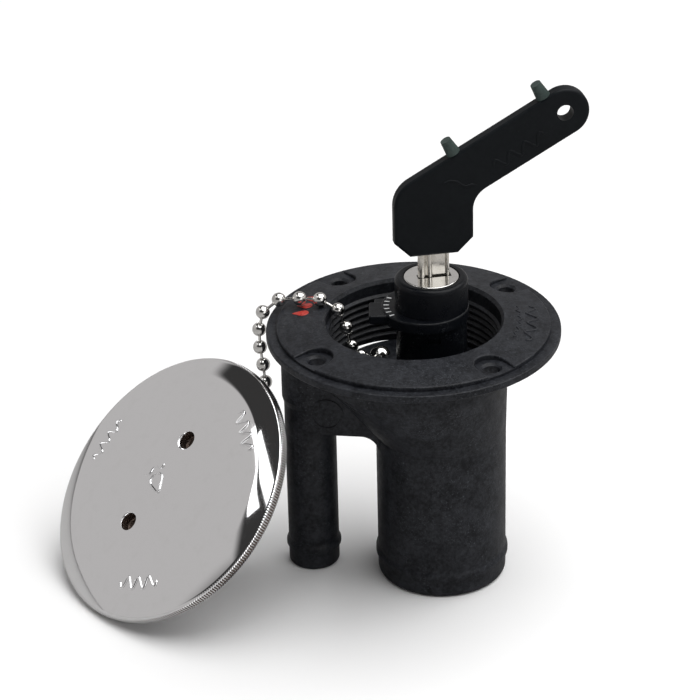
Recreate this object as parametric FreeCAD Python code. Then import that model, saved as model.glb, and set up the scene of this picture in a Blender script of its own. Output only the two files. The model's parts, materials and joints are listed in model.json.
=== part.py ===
import FreeCAD, Part
import math
import os

# Combination fuel fill and vent deck plate with a locking insert, its key, and a screw cap
# that hangs on a bead chain. Millimetres, +Z up. The origin is on the throat's axis, at the
# underside of the flange, which is the face that lies on the deck. +X runs from the vent
# spigot towards the fill neck.
#
# The insert is lifted out of its seat, the key stands in the lock, and the cap leans on the
# vent spigot with its lower edge level with the ends of the two spigots.

V = FreeCAD.Vector
X_AXIS, Y_AXIS, Z_AXIS = V(1, 0, 0), V(0, 1, 0), V(0, 0, 1)

# Flange
LIP_R = 42.5
LIP_T = 2.15
LIP_ROUND = 0.4
DISC_R = 39.5
DISC_EDGE_Z = 3.4
DISC_ROUND = 0.4
FLANGE_TOP = 5.0
BOLT_CIRCLE_R = 34.925
BOLT_COUNT = 4
BOLT_HOLE_R = 2.35
BOLT_SEAT_R = 3.1
BOLT_SEAT_Z = 2.2
BOLT_POCKET_R = 4.8
BOLT_POCKET_Z = 2.85

# Throat and its thread, 12 turns to the inch
THROAT_OUT_R = 27.2
RIM_R = 26.1
THREAD_ROOT_R = 25.4
THREAD_CREST_R = 24.6
THREAD_PITCH = 25.4 / 12
THREAD_TOP = 1.2
THREAD_BOTTOM = -13.4
LEDGE_Z = -15.0
FUNNEL_TOP_Z = -12.0
FUNNEL_END_Z = -31.0

# Fill neck, for hose of 38.1 bore
NECK_X = 7.75
NECK_R = 19.05
NECK_END_Z = -78.0
NECK_BORE_R = 16.2
NECK_LOWER_BORE_R = 16.4
LIP_BORE_R = 14.6
LIP_TOP_Z = -29.0
LIP_UNDER_Z = -33.6
BEAD_TOP_Z = -69.2
BEAD_MID_Z = -70.9
BEAD_STEP_Z = -72.2
BEAD_PROUD = 0.62
NECK_END_ROUND = 1.6

# Vent spigot and the web that joins it to the throat
VENT_X = -30.9
VENT_R = 7.57
VENT_END_ROUND = 1.2
VENT_SHOULDER_R = 8.1
VENT_SHOULDER_Z = -21.5
VENT_BORE_R = 5.5
VENT_BORE_TOP_Z = -24.0
VENT_PORT_R = 3.2
WEB_HALF = 7.6
WEB_UNDER_Z = -31.0
WEB_FILLET = 5.2

# Chain anchor on the ledge
ANCHOR = V(-11.5, 13.5, LEDGE_Z)
ANCHOR_HEAD_R = 3.0
ANCHOR_SHANK_R = 1.35

# Locking insert. The lock's axis stands beside the neck's axis.
LOCK_X = 5.3
FACE_Z = 18.53
COLLAR_R = 10.5
BARREL_R = 10.2
SHELF_TOP_Z = 9.3
SHELF_T = 3.2
SHELF_R = 12.6
SHELF_X = 3.4
ARM_REACH = 18.0
ARM_FRONT = -6.0
ARM_STEP = 3.1
ARM_BACK = 7.3
ARM_STEP_DROP = 0.9
ARM_ROUND = 0.6
ARM_TURN = 7.0
BASE_R = 15.9
BASE_TOP_Z = -13.5
BASE_UNDER_Z = -17.0
CHAMBER_R = 14.2
CHAMBER_BORE_R = 12.6
CHAMBER_END_Z = -25.5
COVER_T = 1.5
RECESS_R = 8.2
RECESS_END_Z = -9.0
TAIL_HOLE_R = 3.3
SEAL_MAJOR_R = 15.15
SEAL_WIRE_R = 0.9
SEAL_Z = -15.3
COVER_SCREWS = ((-3.0, 5.0, 1.7), (-3.0, -5.0, 1.7), (14.0, 8.9, 2.0), (14.0, -8.9, 2.0))

# Lock: shell, plug, wafers, key blade. KEY_TURN is the angle of the key's plane from +X.
KEY_TURN = 18.0
SHELL_R = 8.15
SHELL_BORE_R = 6.85
SHELL_TOP_Z = 17.2
PLUG_R = 6.8
HEAD_R = 7.9
HEAD_T = 1.25
TAIL_R = 3.05
WAFER_COUNT = 6
WAFER_TOP_Z = 14.0
WAFER_STEP = 3.2
WAFER_T = 1.0
WAFER_HALF = 3.2
WAFER_GAP = 0.15
WAFER_TRAVEL = 0.6
BLADE_LEFT = -3.9
BLADE_RIGHT = 5.1
BLADE_T = 2.3
BLADE_TIP = -25.0
BLADE_WEB = 0.25
BLADE_RIBS = ((-2.75, 1.15), (-0.55, 0.8), (4.6, 0.5))
KEYWAY_PLAY = 0.15

# Scroll cam and the two bolts, 2 mm of travel to a quarter turn
CAM_R = 7.8
CAM_TOP_Z = -19.2
CAM_T = 2.3
GROOVE_DEPTH = 1.8
GROOVE_R = 1.1
FOLLOWER_R = 0.9
FOLLOWER_AT = 4.2
BOLT_TRAVEL = 2.0
LATCH_WIDTH = 6.0
LATCH_T = 3.0
LATCH_TOP_Z = -22.2
LATCH_INNER = 2.9
LATCH_TIP_R = 13.9
TANG = 3.6

# Key handle, in the key's plane: s along the plane, h above the face of the lock
HANDLE_T = 4.2
HANDLE_ROUND = 0.9
HANDLE_LEFT = -10.8
HANDLE_RIGHT = 12.0
HANDLE_FOOT = 7.3
HANDLE_CHAMFER = 4.5
HANDLE_SHOULDER_R = 8.9
HANDLE_INNER_R = 7.2
ARM_ANGLE = 29.4
EYE = (38.2, 47.3)
EYE_R = 7.05
EYE_HOLE_R = 2.35
PEG_SPACING = 29.4
PEG_FROM_EYE = 2.9
PEG_R = 2.1
PEG_TIP_R = 1.55
PEG_LENGTH = 4.6
PEG_ROOT_R = 1.3
PEG_ROOT = 4.0

# Cap, in its own frame: +Z out of its face, z = 0 at the rim's back
CAP_R = 42.0
CAP_X, CAP_Y = -70.1, -14.2
CAP_AZIMUTH = -135.7
CAP_TILT = 44.93
CAP_CROWN_Z = 8.3
CREASE_R = 35.3
CREASE_Z = 4.8
BAND_TOP_Z = 2.9
CEILING_Z = 5.9
SKIRT_R = 24.2
SKIRT_BORE_R = 21.6
SKIRT_END_Z = -14.0
CAP_THREAD_R = 25.1
SPANNER_HOLE_R = 2.75
SPANNER_TURN = -3.2
SWIVEL_R = 1.25

# Bead chain
BALL_R = 2.07
PIN_R = 0.42
RIM_BALLS = 8
HANGING_BALLS = 13
# Route of the ball centres: up out of the throat, over the flange to the hinging ball ...
RIM_ROUTE = ((-16.6, 8, -12.7), (-18.9, 5, -7.8), (-20.3, 5, -1.9), (-22.6, 5, 3.9),
             (-28.1, 5.3, 6.9), (-34.1, 6.2, 6.45), (-39.9, 6.3, 5.8), (-44.7, 5, 2.1))
# ... and down behind the cap's edge, in a slack loop to the swivel inside the cap
HANGING_ROUTE = ((-44.7, 5, 2.1), (-45.9, 5, -3), (-46, 5, -8.6), (-45.3, 5, -14.4), (-44.8, 5, -20.6),
                 (-44.9, 5, -30), (-45.2, 4.7, -40), (-48.5, 2.5, -49.5), (-54, -1.7, -52.5),
                 (-60, -6, -50.5), (-65, -10, -46.5))


def box(x0, x1, y0, y1, z0, z1):
    """A box from its low and high faces."""
    return Part.makeBox(x1 - x0, y1 - y0, z1 - z0, V(x0, y0, z0))


def rod(radius, z0, z1, x=0.0, y=0.0):
    """An upright cylinder between two heights."""
    return Part.makeCylinder(radius, z1 - z0, V(x, y, z0))


def ring(outer, inner, z0, z1, x=0.0, y=0.0):
    """An upright tube between two heights."""
    return rod(outer, z0, z1, x, y).cut(rod(inner, z0 - 1, z1 + 1, x, y))


def turned(points, x=0.0):
    """A solid turned about the upright axis at x from an outline of (radius, z)."""
    corners = [V(r, 0, z) for r, z in points]
    face = Part.Face(Part.makePolygon(corners + corners[:1]))
    solid = face.revolve(V(), Z_AXIS, 360)
    solid.translate(V(x, 0, 0))
    return solid


def cove(radius, size, z, x=0.0):
    """A concave fillet ring between an upright cylinder and the face above it."""
    corner = V(radius, 0, z)
    low, out = V(radius, 0, z - size), V(radius + size, 0, z)
    bend = size * (1 - math.sqrt(0.5))
    arc = Part.Arc(low, V(radius + bend, 0, z - bend), out).toShape()
    edges = [Part.makeLine(corner, low), arc, Part.makeLine(out, corner)]
    solid = Part.Face(Part.Wire(edges)).revolve(V(), Z_AXIS, 360)
    solid.translate(V(x, 0, 0))
    return solid


def thread(base_r, crest_r, z0, z1):
    """A helical ridge that stands from base_r to crest_r, inwards or outwards."""
    helix = Part.makeHelix(THREAD_PITCH, z1 - z0, base_r)
    helix.translate(V(0, 0, z0))
    root = base_r + math.copysign(0.2, base_r - crest_r)
    half = THREAD_PITCH * 0.43
    flat = THREAD_PITCH * 0.07
    corners = [V(root, 0, z0 - half), V(crest_r, 0, z0 - flat),
               V(crest_r, 0, z0 + flat), V(root, 0, z0 + half)]
    outline = Part.makePolygon(corners + corners[:1])
    return Part.Wire(helix.Edges).makePipeShell([outline], True, True)


def torus(major, wire, z, x=0.0):
    return Part.makeTorus(major, wire, V(x, 0, z))


def spigot(radius, top_z, end_round, x):
    """An upright hose spigot: a tube end with a swelling that stops in a step above the end land."""
    solid = round_rims(rod(radius, NECK_END_Z, top_z, x), end_round, NECK_END_Z, radius)
    swell = radius + BEAD_PROUD
    top, mid = V(radius, 0, BEAD_TOP_Z), V(swell, 0, BEAD_MID_Z)
    step, foot = V(swell, 0, BEAD_STEP_Z + 0.4), V(radius - 0.02, 0, BEAD_STEP_Z)
    inner = [V(radius - 1, 0, BEAD_STEP_Z), V(radius - 1, 0, BEAD_TOP_Z)]
    rise = Part.BezierCurve()
    half = (BEAD_TOP_Z + BEAD_MID_Z) / 2
    rise.setPoles([top, V(radius, 0, half), V(swell, 0, half), mid])
    points = [mid, step, foot] + inner + [top]
    edges = [rise.toShape()] + [Part.makeLine(a, b) for a, b in zip(points, points[1:])]
    swelling = Part.Face(Part.Wire(edges)).revolve(V(), Z_AXIS, 360)
    swelling.translate(V(x, 0, 0))
    return solid.fuse(swelling)


def round_rims(solid, size, z, radius):
    """Rounds the circular edges of one radius at one height."""
    edges = []
    for edge in solid.Edges:
        curve = edge.Curve
        if not isinstance(curve, Part.Circle):
            continue
        if abs(curve.Radius - radius) < 0.01 and abs(curve.Center.z - z) < 0.01:
            edges.append(edge)
    return solid.makeFillet(size, edges)


def polar(radius, degrees):
    return radius * math.cos(math.radians(degrees)), radius * math.sin(math.radians(degrees))


def in_key_plane(solid):
    """Turns a shape from the key's own frame, x along its plane, to its place over the lock."""
    solid.rotate(V(), Z_AXIS, KEY_TURN)
    solid.translate(V(LOCK_X, 0, FACE_Z))
    return solid


def cap_placement():
    """The cap's frame: it leans back at CAP_TILT, with its lowest point at the spigots' ends."""
    turn = FreeCAD.Rotation(Z_AXIS, CAP_AZIMUTH).multiply(FreeCAD.Rotation(Y_AXIS, CAP_TILT))
    height = NECK_END_Z + CAP_R * math.sin(math.radians(CAP_TILT))
    return FreeCAD.Placement(V(CAP_X, CAP_Y, height), turn)


def on_cap(solid):
    solid.Placement = cap_placement().multiply(solid.Placement)
    return solid


# Fitting -----------------------------------------------------------------------------------


def screw_pocket(angle):
    """A level pocket, open outwards through the disc's edge, with a countersunk hole in its floor."""
    above = FLANGE_TOP + 1
    hole = rod(BOLT_POCKET_R, BOLT_POCKET_Z, above, BOLT_CIRCLE_R)
    mouth = box(BOLT_CIRCLE_R, LIP_R + 2, -BOLT_POCKET_R, BOLT_POCKET_R, BOLT_POCKET_Z, above)
    hole = hole.fuse(mouth)
    hole = hole.fuse(rod(BOLT_HOLE_R, -1, FLANGE_TOP, BOLT_CIRCLE_R))
    seat_depth = BOLT_POCKET_Z - BOLT_SEAT_Z
    hole = hole.fuse(Part.makeCone(BOLT_HOLE_R, BOLT_SEAT_R, seat_depth, V(BOLT_CIRCLE_R, 0, BOLT_SEAT_Z)))
    hole.rotate(V(), Z_AXIS, angle)
    return hole


def on_crown(edge):
    """Whether an edge of the flange lies in the crowned face and outside the throat's rim."""
    ends = [vertex.Point for vertex in edge.Vertexes]
    ends.append(edge.valueAt((edge.FirstParameter + edge.LastParameter) / 2))
    for point in ends:
        reach = math.hypot(point.x, point.y)
        level = FLANGE_TOP + (DISC_EDGE_Z - FLANGE_TOP) * (reach - RIM_R) / (DISC_R - RIM_R)
        if reach < RIM_R + 1 or abs(point.z - level) > 0.02:
            return False
    return True


def flange():
    """Lip and crowned disc, whose face falls from the throat's rim to its edge."""
    outline = [(0, 0), (LIP_R, 0), (LIP_R, LIP_T), (DISC_R, LIP_T),
               (DISC_R, DISC_EDGE_Z), (RIM_R, FLANGE_TOP), (0, FLANGE_TOP)]
    solid = turned(outline)
    for i in range(BOLT_COUNT):
        solid = solid.cut(screw_pocket(45 + 360 / BOLT_COUNT * i))
    rims = [edge for edge in solid.Edges if on_crown(edge)]
    solid = solid.makeFillet(DISC_ROUND, rims)
    solid = round_rims(solid, LIP_ROUND, LIP_T, LIP_R)
    return round_rims(solid, LIP_ROUND, 0, LIP_R)


def fill_neck():
    """The throat's outside, which funnels down into the offset hose neck."""
    top = Part.Wire(Part.makeCircle(THROAT_OUT_R, V(0, 0, FUNNEL_TOP_Z)))
    end = Part.Wire(Part.makeCircle(NECK_R, V(NECK_X, 0, FUNNEL_END_Z)))
    solid = Part.makeLoft([top, end], True, True)
    solid = solid.fuse(rod(THROAT_OUT_R, FUNNEL_TOP_Z, 0.5))
    solid = solid.fuse(spigot(NECK_R, FUNNEL_END_Z, NECK_END_ROUND, NECK_X))
    return solid.fuse(cove(THROAT_OUT_R, 1.5, 0))


def vent_and_web():
    """The vent spigot and the web between it and the neck."""
    taper = 2.0
    tube = spigot(VENT_R, 0.5, VENT_END_ROUND, VENT_X)
    shoulder = rod(VENT_SHOULDER_R, VENT_SHOULDER_Z, 0.5, VENT_X)
    cone = Part.makeCone(VENT_R, VENT_SHOULDER_R, taper, V(VENT_X, 0, VENT_SHOULDER_Z - taper))
    web = box(VENT_X, 0, -WEB_HALF, WEB_HALF, WEB_UNDER_Z, 0.5)
    # the web's underside rounds down to where its two faces meet the neck
    neck_side = NECK_X - math.sqrt(NECK_R ** 2 - WEB_HALF ** 2)
    round_x, round_z = neck_side - WEB_FILLET, WEB_UNDER_Z - WEB_FILLET
    block = box(round_x, 0, -WEB_HALF, WEB_HALF, round_z, WEB_UNDER_Z)
    round_cut = Part.makeCylinder(WEB_FILLET, 4 * WEB_HALF, V(round_x, -2 * WEB_HALF, round_z), Y_AXIS)
    solid = tube.fuse(shoulder).fuse(cone).fuse(web).fuse(block.cut(round_cut))
    return solid.fuse(cove(VENT_SHOULDER_R, 1.5, 0, VENT_X))


def fill_body():
    """Flange, threaded throat, fill neck and vent spigot, moulded in one piece."""
    solid = flange().fuse(fill_neck()).fuse(vent_and_web())
    inner = rod(THREAD_ROOT_R, LEDGE_Z, FLANGE_TOP + 1)
    inner = inner.fuse(Part.makeCone(THREAD_ROOT_R, RIM_R + 0.3, 1.3, V(0, 0, FLANGE_TOP - 1.0)))
    inner = inner.fuse(rod(NECK_BORE_R, LIP_TOP_Z, LEDGE_Z + 1, NECK_X))
    inner = inner.fuse(rod(LIP_BORE_R, LIP_UNDER_Z - 1, LIP_TOP_Z + 1, NECK_X))
    inner = inner.fuse(rod(NECK_LOWER_BORE_R, NECK_END_Z - 1, LIP_UNDER_Z, NECK_X))
    inner = inner.fuse(rod(VENT_BORE_R, NECK_END_Z - 1, VENT_BORE_TOP_Z, VENT_X))
    # slanted port from the vent bore up to the throat's ledge
    foot = V(VENT_X + 1, 0, VENT_BORE_TOP_Z - 1.5)
    slant = V(-19.5, 0, LEDGE_Z + 1) - foot
    inner = inner.fuse(Part.makeCylinder(VENT_PORT_R, slant.Length, foot, slant))
    solid = solid.cut(inner)
    solid = solid.cut(rod(ANCHOR_SHANK_R, LEDGE_Z - 6.5, LEDGE_Z + 1, ANCHOR.x, ANCHOR.y))
    # moulded date ring on the web
    date = Part.makeCylinder(4.8, 0.5, V(-24.8, -WEB_HALF - 0.25, -24), Y_AXIS)
    date = date.cut(Part.makeCylinder(4.4, 2, V(-24.8, -WEB_HALF - 1, -24), Y_AXIS))
    solid = solid.fuse(date)
    return solid.fuse(thread(THREAD_ROOT_R, THREAD_CREST_R, THREAD_BOTTOM, THREAD_TOP))


def anchor_screw():
    """A domed, slotted screw that holds the chain's eyelet down on the ledge."""
    eyelet_top = LEDGE_Z + 0.85
    ball_r = 3.4
    ball = Part.makeSphere(ball_r, V(ANCHOR.x, ANCHOR.y, eyelet_top - ball_r + 1.9))
    head = ball.common(rod(ANCHOR_HEAD_R, eyelet_top, eyelet_top + 3, ANCHOR.x, ANCHOR.y))
    shank = rod(ANCHOR_SHANK_R, LEDGE_Z - 6, eyelet_top, ANCHOR.x, ANCHOR.y)
    slot = box(ANCHOR.x - 3, ANCHOR.x + 3, ANCHOR.y - 0.3, ANCHOR.y + 0.3,
               eyelet_top + 1.1, eyelet_top + 3)
    return head.fuse(shank).cut(slot)


def eyelet(outer, hole, thickness, reach, width):
    """A flat ring with a tab that carries the last ball's pin, from z = 0 upwards, tab along +X."""
    plate = rod(outer, 0, thickness).fuse(box(0, reach, -width / 2, width / 2, 0, thickness))
    return plate.cut(rod(hole, -1, thickness + 1))


def anchor_eyelet():
    last = V(*RIM_ROUTE[0])
    plate = eyelet(2.6, ANCHOR_SHANK_R + 0.05, 0.8, 4.6, 1.8)
    plate.rotate(V(), Z_AXIS, math.degrees(math.atan2(last.y - ANCHOR.y, last.x - ANCHOR.x)))
    plate.translate(V(ANCHOR.x, ANCHOR.y, LEDGE_Z + 0.02))
    return plate


# Bead chain --------------------------------------------------------------------------------


def ball_centres(route, count):
    """Ball centres at one pitch along the smooth line through a route."""
    line = Part.BSplineCurve()
    line.interpolate([V(*p) for p in route])
    return line.toShape().discretize(Number=count)


def chain_pin(start, end, start_gap, end_gap):
    """The stretch of pin that shows between two places, less a gap at each."""
    way = (end - start).normalize()
    length = (end - start).Length - start_gap - end_gap
    return Part.makeCylinder(PIN_R, length, start + way * start_gap, way)


def swivel_end():
    """Where the last pin meets the cap's eyelet."""
    return cap_placement().multVec(V(-5.6, 0, 3.6))


def anchor_end():
    """Where the first pin meets the anchor's eyelet."""
    away = V(*RIM_ROUTE[0]) - ANCHOR
    away.z = 0
    return V(ANCHOR.x, ANCHOR.y, LEDGE_Z + 1.26) + away.normalize() * 3.7


def chain(centres, tie, tie_gap, far=None, far_gap=0.0):
    """Balls at the centres, a pin between neighbours, and a pin from each end to what holds it."""
    balls = [Part.makeSphere(BALL_R, centre) for centre in centres]
    pins = [chain_pin(a, b, BALL_R, BALL_R) for a, b in zip(centres, centres[1:])]
    pins.append(chain_pin(tie, centres[0], tie_gap, BALL_R))
    if far is not None:
        pins.append(chain_pin(centres[-1], far, BALL_R, far_gap))
    return Part.makeCompound(balls), Part.makeCompound(pins)


def rim_chain():
    """From the anchor's eyelet over the flange to the ball that the rest hangs from."""
    return chain(ball_centres(RIM_ROUTE, RIM_BALLS), anchor_end(), 0.0)


def hanging_chain():
    """From just clear of the hinging ball to the cap's swivel."""
    centres = ball_centres(HANGING_ROUTE, HANGING_BALLS + 1)
    return chain(centres[1:], centres[0], BALL_R + 0.1, swivel_end())


def swivel_eyelet():
    plate = eyelet(2.7, SWIVEL_R + 0.08, 0.85, 6.2, 1.8)
    plate.rotate(V(), Z_AXIS, 180)
    plate.translate(V(0, 0, 3.65))
    return on_cap(plate)


# Locking insert ----------------------------------------------------------------------------


def lock_housing():
    """Collar, shelf, barrel, base disc and bolt chamber, moulded in one piece."""
    collar = rod(COLLAR_R, SHELF_TOP_Z - SHELF_T, FACE_Z, LOCK_X)
    collar = round_rims(collar, 1.3, FACE_Z, COLLAR_R)
    shelf_under = SHELF_TOP_Z - SHELF_T
    shelf = rod(SHELF_R, shelf_under, SHELF_TOP_Z, SHELF_X)
    shelf = round_rims(shelf, 0.5, SHELF_TOP_Z, SHELF_R)
    # the lifting arm, with a lower step along its back
    arm_top = SHELF_TOP_Z - 0.4
    arm = box(-ARM_REACH, 4, ARM_FRONT, ARM_STEP, shelf_under, arm_top)
    arm = arm.makeFillet(ARM_ROUND, arm.Edges)
    step = box(1.5 - ARM_REACH, 4, ARM_STEP - 2, ARM_BACK, shelf_under, arm_top - ARM_STEP_DROP)
    arm = arm.fuse(step.makeFillet(ARM_ROUND, step.Edges))
    arm.rotate(V(), Z_AXIS, ARM_TURN)
    arm.translate(V(LOCK_X, 0, 0))
    solid = collar.fuse(shelf).fuse(arm)
    solid = solid.fuse(rod(BARREL_R, BASE_TOP_Z - 1, SHELF_TOP_Z - SHELF_T, LOCK_X))
    base = rod(BASE_R, BASE_UNDER_Z, BASE_TOP_Z, NECK_X)
    groove = ring(BASE_R + 1, SEAL_MAJOR_R - SEAL_WIRE_R - 0.05, SEAL_Z - SEAL_WIRE_R - 0.05,
                  SEAL_Z + SEAL_WIRE_R + 0.05, NECK_X)
    solid = solid.fuse(base.cut(groove))
    chamber = ring(CHAMBER_R, CHAMBER_BORE_R, CHAMBER_END_Z, BASE_UNDER_Z + 0.01, NECK_X)
    for x, y, r in COVER_SCREWS:
        post = rod(r, CHAMBER_END_Z, BASE_UNDER_Z + 0.01, x, y).common(rod(CHAMBER_R, -40, 0, NECK_X))
        chamber = chamber.fuse(post)
    latch_half = LATCH_WIDTH / 2 + 0.25
    latch_way = box(LOCK_X - latch_half, LOCK_X + latch_half, -20, 20,
                    CHAMBER_END_Z - 1, LATCH_TOP_Z + 0.25)
    solid = solid.fuse(chamber.cut(latch_way))
    for x, y, r in COVER_SCREWS:
        solid = solid.cut(rod(0.8, CHAMBER_END_Z - 1, CHAMBER_END_Z + 5, x, y))
    solid = solid.cut(rod(RECESS_R, RECESS_END_Z, FACE_Z + 1, LOCK_X))
    solid = solid.cut(rod(TAIL_HOLE_R, BASE_UNDER_Z - 1, RECESS_END_Z + 1, LOCK_X))
    # drain window in the front of the barrel
    return solid.cut(box(5.0, 9.0, -BARREL_R - 1, -BARREL_R + 1.2, 1.5, 3.3))


def insert_seal():
    return torus(SEAL_MAJOR_R, SEAL_WIRE_R, SEAL_Z, NECK_X)


def chamber_cover():
    """The flat lid under the bolt chamber."""
    cover = rod(CHAMBER_R, CHAMBER_END_Z - COVER_T, CHAMBER_END_Z, NECK_X)
    for x, y, r in COVER_SCREWS:
        cover = cover.cut(rod(0.9, CHAMBER_END_Z - 3, CHAMBER_END_Z + 1, x, y))
        cover = cover.cut(Part.makeCone(1.75, 0.85, 0.9, V(x, y, CHAMBER_END_Z - COVER_T - 0.01)))
    return cover


def cover_screws():
    screws = []
    for x, y, r in COVER_SCREWS:
        head = Part.makeCone(1.6, 0.75, 0.85, V(x, y, CHAMBER_END_Z - COVER_T))
        screw = head.fuse(rod(0.75, CHAMBER_END_Z - COVER_T + 0.8, CHAMBER_END_Z + 4, x, y))
        slot = box(x - 2, x + 2, y - 0.2, y + 0.2, CHAMBER_END_Z - 2, CHAMBER_END_Z - COVER_T + 0.4)
        screws.append(screw.cut(slot))
    return Part.makeCompound(screws)


def wafer_levels():
    return [WAFER_TOP_Z - WAFER_STEP * i for i in range(WAFER_COUNT)]


def lock_shell():
    """The fixed sleeve round the plug, with a groove for the wafers at each end of the turn."""
    sleeve = ring(SHELL_R, SHELL_BORE_R, RECESS_END_Z, SHELL_TOP_Z)
    low = wafer_levels()[-1] - 1.5
    for turn in (0, 90):
        groove = box(-PLUG_R - WAFER_TRAVEL - 0.35, 0, -WAFER_HALF - 0.3, WAFER_HALF + 0.3,
                     low, WAFER_TOP_Z + 1.5)
        groove.rotate(V(), Z_AXIS, KEY_TURN + turn)
        sleeve = sleeve.cut(groove)
    sleeve.translate(V(LOCK_X, 0, 0))
    return sleeve


def keyway(play, top, tip):
    """The space the key's blade needs, in the key's own frame."""
    half = BLADE_T / 2 + play
    return box(BLADE_LEFT - play, BLADE_RIGHT + play + 0.4 * (play > 0), -half, half, tip, top)


def lock_plug():
    """The turning plug: head, body slotted for the wafers, and a tail with a square end."""
    head = round_rims(rod(HEAD_R, -HEAD_T, 0), 0.3, 0, HEAD_R)
    body = rod(PLUG_R, RECESS_END_Z - FACE_Z + 0.05, -HEAD_T)
    solid = head.fuse(body)
    for z in wafer_levels():
        level = z - FACE_Z
        room = WAFER_T / 2 + WAFER_GAP
        slot = box(-PLUG_R - 1, PLUG_R + 1, -WAFER_HALF - 0.1, WAFER_HALF + 0.1,
                   level - room, level + room)
        solid = solid.cut(slot)
        for side in (-1, 1):
            solid = solid.cut(Part.makeCylinder(0.8, 3.6, V(-1.8, side * 4.5, level), X_AXIS))
    solid = solid.cut(keyway(KEYWAY_PLAY, 1, BLADE_TIP - 1))
    tail_end = CAM_TOP_Z - FACE_Z
    tail = rod(TAIL_R, tail_end, RECESS_END_Z - FACE_Z + 0.1)
    clip_z = BASE_UNDER_Z - FACE_Z
    tail = tail.cut(ring(TAIL_R + 1, TAIL_R - 0.55, clip_z - 1.0, clip_z - 0.2))
    tang = box(-TANG / 2, TANG / 2, -TANG / 2, TANG / 2, tail_end - CAM_T, tail_end + 0.1)
    solid = solid.fuse(tail).fuse(tang)
    return in_key_plane(solid.cut(rod(1.1, tail_end - CAM_T - 1, -13 - FACE_Z)))


def wafers():
    """Flat wafers with a window for the blade, each held in by the key."""
    plates = []
    for z in wafer_levels():
        level = z - FACE_Z
        disc = rod(PLUG_R - 0.1, level - WAFER_T / 2, level + WAFER_T / 2)
        plate = disc.common(box(-9, 9, -WAFER_HALF, WAFER_HALF, level - 1, level + 1))
        window = box(BLADE_LEFT - 0.3, BLADE_RIGHT + WAFER_TRAVEL + 0.2,
                     -BLADE_T / 2 - 0.35, BLADE_T / 2 + 0.35, level - 1, level + 1)
        plates.append(plate.cut(window))
    return in_key_plane(Part.makeCompound(plates))


def wafer_springs():
    """A small coil beside each end of a wafer, lying along its travel."""
    coils = []
    for z in wafer_levels():
        for side in (-1, 1):
            helix = Part.makeHelix(0.8, 3.2, 0.5)
            section = Part.Wire(Part.makeCircle(0.15, V(0.5, 0, 0), Y_AXIS))
            coil = Part.Wire(helix.Edges).makePipeShell([section], True, True)
            coil.rotate(V(), Y_AXIS, 90)
            coil.translate(V(-1.6, side * 4.5, z - FACE_Z))
            coils.append(coil)
    return in_key_plane(Part.makeCompound(coils))


def retaining_clip():
    """The open clip in the tail's groove, which keeps the plug in the housing."""
    clip = ring(TAIL_R + 1.5, TAIL_R - 0.5, BASE_UNDER_Z - 0.9, BASE_UNDER_Z - 0.3)
    clip = clip.cut(box(0, 9, -1.6, 1.6, BASE_UNDER_Z - 2, BASE_UNDER_Z))
    clip.translate(V(LOCK_X, 0, 0))
    return clip


def scroll_groove(start):
    """A spiral slot, wide enough for a bolt's follower, that leads outwards as the plug turns."""
    rise = BOLT_TRAVEL / 90
    extra = 6
    low = CAM_TOP_Z - CAM_T - 1
    high = CAM_TOP_Z - CAM_T + GROOVE_DEPTH
    cuts = []
    step = 6
    for turn in range(-extra, 90 + extra + 1, step):
        x, y = polar(FOLLOWER_AT + rise * turn, start - turn)
        cuts.append(rod(GROOVE_R, low, high, x, y))
    groove = cuts[0]
    for a, b in zip(cuts, cuts[1:]):
        groove = groove.fuse(b)
    return groove


def scroll_cam():
    """Disc on the plug's tail whose two spiral grooves drive the bolts."""
    disc = rod(CAM_R, CAM_TOP_Z - CAM_T, CAM_TOP_Z)
    for start in (90, 270):
        disc = disc.cut(scroll_groove(start))
    hole = box(-TANG / 2 - 0.05, TANG / 2 + 0.05, -TANG / 2 - 0.05, TANG / 2 + 0.05, -30, 0)
    hole.rotate(V(), Z_AXIS, KEY_TURN)
    disc = disc.cut(hole)
    disc.translate(V(LOCK_X, 0, 0))
    return disc


def cam_screw():
    under = CAM_TOP_Z - CAM_T
    slot = box(LOCK_X - 4, LOCK_X + 4, -0.35, 0.35, under - 3, under - 1)
    head = rod(2.6, under - 1.6, under, LOCK_X).cut(slot)
    return head.fuse(rod(1.05, under, under + 7, LOCK_X))


def latch(side):
    """A bolt with its follower pin, on the +Y or the -Y side."""
    bar = box(LOCK_X - LATCH_WIDTH / 2, LOCK_X + LATCH_WIDTH / 2, LATCH_INNER, 20,
              LATCH_TOP_Z - LATCH_T, LATCH_TOP_Z)
    bar = bar.common(rod(LATCH_TIP_R, -40, 0, NECK_X))
    bar = bar.fuse(rod(FOLLOWER_R, LATCH_TOP_Z - 1, LATCH_TOP_Z + 2.2, LOCK_X, FOLLOWER_AT))
    if side < 0:
        bar = bar.mirror(V(), Y_AXIS)
    return bar


# Key ---------------------------------------------------------------------------------------


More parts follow.
